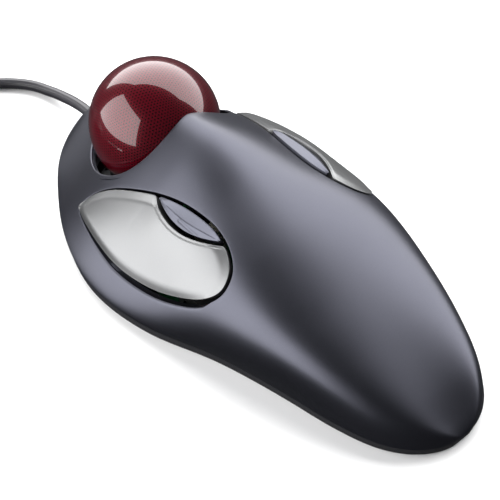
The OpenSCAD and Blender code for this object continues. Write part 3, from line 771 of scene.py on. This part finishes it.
def make_top_shell():
    """Painted shell: rounded edges round the keys and the ball, and a collar under the ball's edge."""
    bend = np.linspace(0, np.pi, 301)
    angles = np.clip(180 * (0.5 - 0.5 * np.cos(bend)) * 0.35 + 180 * bend / np.pi * 0.65, 0.7, 179.3)
    patch = Patch(angles, np.linspace(-1, 1, 151), shell_field)
    angle, u = patch.where(patch.at)
    points, normals, under = skin(angle, u), skin_normal(angle, u), skin(angle, u, -SHELL_WALL)
    rims, plain = [], []
    for loop in patch.loops:
        top, n, low = points[loop], normals[loop], under[loop]
        if np.abs(outside_opening(top) - OPENING_EDGE_R).mean() < 0.05:
            slope = patch.slope(top)
            along = unit(-slope - (-slope * n).sum(1)[:, None] * n)
            stretch = OPENING_EDGE_R / np.maximum(-(along * slope).sum(1), 0.4)
            radius = np.full(len(loop), OPENING_EDGE_R)
            wall = top - slope * OPENING_EDGE_R
            level = (wall - BALL_AT) @ LEAN_AXIS
            bottom = wall + (COLLAR_LOW - level)[:, None] * LEAN_AXIS
            rings = rim(top, low, loop, along * (stretch / radius)[:, None], -LEAN_AXIS, radius, bottom)
            outer = bottom + slope * COLLAR_WALL
            reach = ((low - BALL_AT) @ LEAN_AXIS - COLLAR_LOW)[:, None]
            rings += [outer, outer + np.maximum(reach - 0.6, 0.2) * LEAN_AXIS]
            rims.append((loop, rings))
        elif np.abs(outside_keys(top) - shell_edge_radius(top)).mean() < 0.05:
            slope = patch.slope(top)
            along = unit(-slope - (-slope * n).sum(1)[:, None] * n)
            radius = shell_edge_radius(top)
            bottom = low + along * radius[:, None]
            rims.append((loop, rim(top, low, loop, along, -n, radius, bottom)))
        else:
            plain.append(loop)
    shape = close_patch(points, under, patch.faces, rims, plain)
    add_piece("top_cover", *shape, "casing", "shell_paint", ["top_shell"], sharp=50)


make_top_shell()


# ---------------------------------------------------------------- keys

KEY_T = 1.8
INNER_BEVEL = 2.4
OUTER_BEVEL = 1.4
LIP_WIDTH = 0.85
LIP_DROP = 0.16
# Heights of the main key over the skin every 10 mm from y = -20: along its ridge side, and along
# its flank side; and of the small key's crest
RIDGE_HEIGHT = [0.3, 0.7, 2.2, 2.3, 1.4, 0.9, 0.8, 0.6]
FLANK_HEIGHT = [0.3, 0.85, 0.95, 0.95, 1.1, 1.4, 1.6, 1.3]
CREST_OF_SMALL = [0.3, 0.7, 1.8, 1.8, 1.2, 0.5, 0.5, 0.5]
CREST_SHARE = 0.6


KEY_FROM_Y = -20
KEY_TO_Y = 50
SEAT_HEIGHT = 0.12
SEAT_SHARE = 0.2
LIP_SOFT = 0.15
SMALL_SEAT_HEIGHT = 0.15
SMALL_SEAT_SHARE = 0.25
CREST_FALL = 0.35


def along_key(values, y):
    return station(values, np.clip((y - KEY_FROM_Y) / (KEY_TO_Y - KEY_FROM_Y), 0, 1))


def key_inside(p):
    """Distance inside the outline of the key pair, right-hand side."""
    return inside_distance(p[:, :2]) - key_gap(p[:, 1])


def lens_distance(p):
    """Distance outside the arc that parts the small key from the main key."""
    return np.hypot(p[:, 0] - LENS_AT[0], p[:, 1] - LENS_AT[1]) - LENS_R


def main_key_field(p):
    return soft_min(key_inside(p), lens_distance(p) - KEY_GAP / 2, 0.5) - KEY_EDGE_R


def small_key_field(p):
    return soft_min(key_inside(p), -lens_distance(p) - KEY_GAP / 2, 0.35) - KEY_EDGE_R


def ramp(value, soft):
    """0 to 1 with a corner at 1 that is rounded over soft."""
    return np.clip(soft_min(np.maximum(value, 0), np.ones(len(value)), soft), 0, 1)


def main_key_height(p):
    """How far the main key stands over the skin: crowned, with a bevel round its edge."""
    inner = np.maximum(reach_to(p[:, :2], INNER_RUN) - key_gap(p[:, 1]), 0)
    outer = np.maximum(reach_to(p[:, :2], OUTER_RUN) - key_gap(p[:, 1]), 0)
    to_lens = np.maximum(lens_distance(p) - KEY_GAP / 2, 0)
    near = np.minimum(inner, to_lens)
    share = near / np.maximum(near + outer, 0.01)
    share = share * share * (3 - 2 * share)
    top = along_key(RIDGE_HEIGHT, p[:, 1]) * (1 - share) + along_key(FLANK_HEIGHT, p[:, 1]) * share
    low = SEAT_HEIGHT + SEAT_SHARE * top
    rise = ramp(inner / INNER_BEVEL, 0.25) * ramp(outer / OUTER_BEVEL, 0.5)
    lip = LIP_DROP * np.clip((LIP_WIDTH - to_lens) / LIP_SOFT, 0, 1)
    return low + (top - low) * rise - lip * rise


RIDGE_ENDS = ((21.9, -1.5), (21.7, 6.0))
RIDGE_R = 0.3
RIDGE_H = 0.16


def small_key_height(p):
    """Small key: rises from the ridge side to a crest, then dips to the arc; a fine raised line."""
    inner = np.maximum(key_inside(p), 0)
    to_lens = np.maximum(-lens_distance(p) - KEY_GAP / 2, 0)
    share = inner / np.maximum(inner + to_lens, 0.01)
    fall = 1 - CREST_FALL * (share - CREST_SHARE) / (1 - CREST_SHARE)
    rise = soft_min(share / CREST_SHARE, fall, 0.1)
    a, b = np.array(RIDGE_ENDS[0]), np.array(RIDGE_ENDS[1])
    t = np.clip(((p[:, :2] - a) @ (b - a)) / ((b - a) @ (b - a)), 0, 1)
    off = np.linalg.norm(p[:, :2] - a - t[:, None] * (b - a), axis=1)
    top = along_key(CREST_OF_SMALL, p[:, 1])
    crown = top * (SMALL_SEAT_SHARE + (1 - SMALL_SEAT_SHARE) * rise)
    return SMALL_SEAT_HEIGHT + crown + RIDGE_H * np.exp(-(off / RIDGE_R) ** 2)


def key_shape(angles, us, field, height):
    patch = Patch(angles, us, field)
    angle, u = patch.where(patch.at)
    base, n = skin(angle, u), skin_normal(angle, u)
    points, under = base + n * height(base)[:, None], base - n * KEY_T
    rims = []
    for loop in patch.loops:
        top = points[loop]
        slope = patch.slope(base[loop])
        along = unit(-slope - (-slope * n[loop]).sum(1)[:, None] * n[loop])
        radius = np.full(len(loop), KEY_EDGE_R)
        bottom = under[loop] + along * radius[:, None]
        rims.append((loop, rim(top, under[loop], loop, along, -n[loop], radius, bottom)))
    return close_patch(points, under, patch.faces, rims, [])


def post(at, radius, top, bottom):
    """Round post with a softened lower end."""
    profile = [(0, bottom), (radius - 0.2, bottom), (radius, bottom + 0.2), (radius, top), (0, top)]
    points, faces = lathe([(r, z) for r, z in profile], 24)
    return placed((points, faces), Matrix.Translation((at[0], at[1], 0)))


def mirrored(shape):
    points, faces = shape
    return [(-x, y, z) for x, y, z in points], [tuple(reversed(f)) for f in faces]


PIVOT_AT = (28.2, 40, 7.2)
PIVOT_LEAN = 38.5
PIVOT_R = 1.5
PIVOT_L = 6.4
MAIN_SWITCH = (27, -8)
SMALL_SWITCH = (20.5, 4.5)
MAIN_STEM_R = 1.6
MAIN_STEM_Z = (20.5, 14.35)
SMALL_STEM_R = 1.3
SMALL_STEM_Z = (24.5, 11.65)
PIN_BEVEL = 0.3
# Stretch of the skin that holds the right-hand keys: section angle, and place across
KEY_ANGLES = (76, 124)
KEY_US = (0.3, 0.95)


def make_keys():
    """Main and small keys of both sides, each with the parts that hang under its plate."""
    angles, us = np.linspace(*KEY_ANGLES, 300), np.linspace(*KEY_US, 180)
    main = key_shape(angles, us, main_key_field, main_key_height)
    small = key_shape(angles, us, small_key_field, small_key_height)
    half = PIVOT_L / 2
    pin = lathe([(0, -half), (PIVOT_R - PIN_BEVEL, -half), (PIVOT_R, PIN_BEVEL - half),
                 (PIVOT_R, half - PIN_BEVEL), (PIVOT_R - PIN_BEVEL, half), (0, half)], 32)
    lean = Matrix.Rotation(math.radians(90 + PIVOT_LEAN), 4, "Y")
    pin = placed(pin, Matrix.Translation(PIVOT_AT) @ lean)
    main = joined(main, pin, post(MAIN_SWITCH, MAIN_STEM_R, *MAIN_STEM_Z))
    small = joined(small, post(SMALL_SWITCH, SMALL_STEM_R, *SMALL_STEM_Z))
    for side, turn in (("right", lambda s: s), ("left", mirrored)):
        for size, shape in (("main", main), ("small", small)):
            add_piece(f"{side}_{size}_key_cap", *turn(shape), f"{side}_{size}_key", f"{size}_key",
                      [f"{side}_{size}_button"])


make_keys()


# ---------------------------------------------------------------- ball

DOTS_PER_EDGE = 25
BALL_STEPS = 30


def make_ball():
    """Sphere of even triangles. Each corner keeps its place on a flat triangular grid for the dots."""
    g = (1 + math.sqrt(5)) / 2
    corners = [(0, a, b * g) for a in (-1, 1) for b in (-1, 1)]
    corners += [(y, z, x) for x, y, z in corners] + [(z, x, y) for x, y, z in corners]
    corners = np.array(corners, float)
    reach = np.linalg.norm(corners[:, None] - corners[None], axis=-1)
    near = (reach > 0.1) & (reach < 2.1)
    triples = [(i, j, k) for i in range(12) for j in range(i + 1, 12) for k in range(j + 1, 12)
               if near[i, j] and near[j, k] and near[i, k]]
    points, index, faces, grid = [], {}, [], []

    def vertex(p):
        key = tuple(np.round(p, 5))
        if key not in index:
            index[key] = len(points)
            points.append(BALL_AT + BALL_R * p / np.linalg.norm(p))
        return index[key]

    n = BALL_STEPS
    for i, j, k in triples:
        a, b, c = corners[i], corners[j], corners[k]
        if np.cross(b - a, c - a) @ (a + b + c) < 0:
            b, c = c, b

        def corner(p, q):
            return vertex((a * (n - p - q) + b * p + c * q) / n), (p, q)

        for p in range(n):
            for q in range(n - p):
                cells = [((p, q), (p + 1, q), (p, q + 1))]
                if p + q < n - 1:
                    cells.append(((p + 1, q), (p + 1, q + 1), (p, q + 1)))
                for cell in cells:
                    made = [corner(*at) for at in cell]
                    faces.append(tuple(v for v, _ in made))
                    dots = DOTS_PER_EDGE / n
                    grid.extend(((s + t / 2) * dots, t * math.sqrt(0.75) * dots, 0)
                                for _, (s, t) in made)
    piece = add_piece("ball_gloss", points, faces, "ball_turn_y", "ball_coat", ["ball_clear_coat"])
    attribute = piece.data.attributes.new("dot_grid", "FLOAT_VECTOR", "CORNER")
    attribute.data.foreach_set("vector", np.array(grid, np.float32).ravel())


make_ball()


# ---------------------------------------------------------------- studio

KEY_LIGHT_TURN = 123.5
KEY_LIGHT_AWAY = 0.6
SIDE_LIGHT_TURN = -108.0
SIDE_LIGHT_AWAY = 0.6
PANEL_GLOW = 6.0


def light_wall(name, turn, away, left, right, low, high, glow):
    """Upright soft panel: its near edge distances are in units of away, seen from the ball."""
    a = math.radians(turn)
    out = Vector((math.sin(a), -math.cos(a), 0))
    side = Vector((-out.y, out.x, 0))
    centre = Vector(BALL_AT) * MM + away * (out + side * (left + right) / 2)
    centre.z = away * (low + high) / 2
    data = bpy.data.lights.new(name, "AREA")
    data.shape = "RECTANGLE"
    data.size, data.size_y = away * (right - left), away * (high - low)
    data.energy = glow * math.pi * data.size * data.size_y
    lamp = bpy.data.objects.new(name, data)
    lamp.location = centre
    lamp.rotation_euler = out.to_track_quat("Z", "Y").to_euler()
    scene.collection.objects.link(lamp)


def make_studio():
    light_wall("right_wall", KEY_LIGHT_TURN, KEY_LIGHT_AWAY, -2.6, 2.1, 0.2, 3.2, PANEL_GLOW)
    light_wall("left_wall", SIDE_LIGHT_TURN, SIDE_LIGHT_AWAY, -0.84, 0.84, 0.0, 1.25, PANEL_GLOW)
    world = bpy.data.worlds.new("studio")
    world.use_nodes = True
    world.node_tree.nodes["Background"].inputs["Color"].default_value = (0.55, 0.57, 0.62, 1)
    world.node_tree.nodes["Background"].inputs["Strength"].default_value = 0.12
    scene.world = world
    scene.view_settings.view_transform = "Standard"
    s = Shader("floor_white", (0.86, 0.86, 0.86), 0.6)
    vary(s, (0.86, 0.86, 0.86), 0.01, 60)
    mesh = bpy.data.meshes.new("floor")
    mesh.from_pydata([(-4, -4, 0), (4, -4, 0), (4, 4, 0), (-4, 4, 0)], [], [(0, 1, 2, 3)])
    mesh.materials.append(s.material)
    floor = bpy.data.objects.new("floor", mesh)
    floor.visible_glossy = False
    scene.collection.objects.link(floor)


make_studio()
